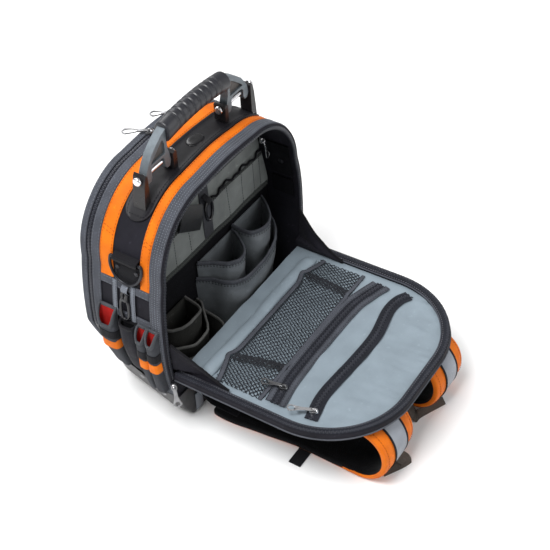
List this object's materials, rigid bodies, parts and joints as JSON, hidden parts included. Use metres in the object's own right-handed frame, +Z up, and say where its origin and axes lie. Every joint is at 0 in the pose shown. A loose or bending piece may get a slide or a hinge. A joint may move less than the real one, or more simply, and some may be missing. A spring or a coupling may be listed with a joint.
{
  "type": "tool backpack",
  "caption": "Open tool backpack with a moulded base tray, arched zip body, swinging carry handle, side tool pockets, a divided inside, and its padded back panel laid open over folded straps.",
  "frame": {"origin": "on the underside of the base tray, midway between its sides and below the middle of the body band", "axes": "+Z up, +Y from the open back towards the front pouch, +X to the right seen from behind the open back"},
  "size_m": [0.3834, 0.515, 0.475],
  "materials": {
    "tray": "moulded matt, fine grain",
    "black_cloth": "coarse woven nylon",
    "orange_cloth": "woven nylon",
    "grey_web": "ribbed webbing",
    "pocket_cloth": "woven nylon with bound edges",
    "zip_tape": "zip tape with moulded teeth",
    "lining": "thin smooth lining",
    "vinyl": "coated cloth, slight sheen",
    "organiser_cloth": "woven nylon",
    "dark_mesh": "knitted mesh",
    "black_web": "webbing and padded mesh",
    "moulded": "satin",
    "rubber": "satin rubber",
    "grey_metal": "blue-grey paint, satin",
    "steel": "plated",
    "ring_steel": "black coated"
  },
  "bodies": {
    "pack": {"base_tray": "tray", "body_shell": "black_cloth", "lower_back_panel": "black_cloth", "grey_strip_rear": "grey_web", "orange_band_rear": "orange_cloth", "orange_band_front": "orange_cloth", "grey_strip_front": "grey_web", "rim_zip_tape": "zip_tape", "front_zip_tape": "zip_tape", "door_edge_strip": "grey_web", "side_webbing_left_upper": "grey_web", "side_webbing_right_upper": "grey_web", "side_webbing_left_lower": "grey_web", "side_webbing_right_lower": "grey_web", "front_door": "black_cloth", "front_pouch": "black_cloth", "handle_pad": "moulded", "bracket_outer_left": "moulded", "bracket_inner_left": "moulded", "axle_left": "steel", "bracket_outer_right": "moulded", "bracket_inner_right": "moulded", "axle_right": "steel", "ring_tunnel": "black_web", "snap_hook": "moulded", "side_sheath": "black_web", "tool_pocket_wide": "pocket_cloth", "tool_pocket_narrow_front": "pocket_cloth", "tool_pocket_narrow_rear": "pocket_cloth", "divider": "black_cloth", "organiser_panel": "organiser_cloth", "key_clip": "moulded", "vinyl_pocket_big": "vinyl", "vinyl_pocket_left": "vinyl", "vinyl_pocket_right": "vinyl", "dark_pocket_front": "dark_mesh", "dark_pocket_middle": "dark_mesh", "dark_pocket_rear": "dark_mesh", "flap_rim": "zip_tape", "flap_board": "lining", "back_pad": "black_web", "lining_roll": "lining", "mesh_pocket": "dark_mesh", "zip_tape_near": "zip_tape", "zip_tape_far": "zip_tape", "zip_pull_near": "steel", "zip_pull_far": "steel", "zip_pull_front_left": "steel", "zip_pull_front_right": "steel", "zip_pull_rim": "steel", "gusset_left": "black_cloth", "gusset_right": "black_cloth", "shoulder_strap_left": "orange_cloth", "shoulder_strap_right": "orange_cloth", "strap_webbing_left": "black_web", "strap_webbing_right": "black_web"},
    "handle": {"handle_grip": "rubber", "handle_end_left": "grey_metal", "handle_end_right": "grey_metal"},
    "ring": {"d_ring": "ring_steel"}
  },
  "joints": [
    {"name": "handle_hinge", "type": "hinge", "parent": "pack", "child": "handle", "pos_m": [0.004, -0.004, 0.4125], "axis": [1, 0, 0], "range_deg": [-75, 75]},
    {"name": "d_ring_swing", "type": "hinge", "parent": "pack", "child": "ring", "pos_m": [-0.1724, -0.003, 0.307], "axis": [0, 1, 0], "range_deg": [0, 110]}
  ]
}
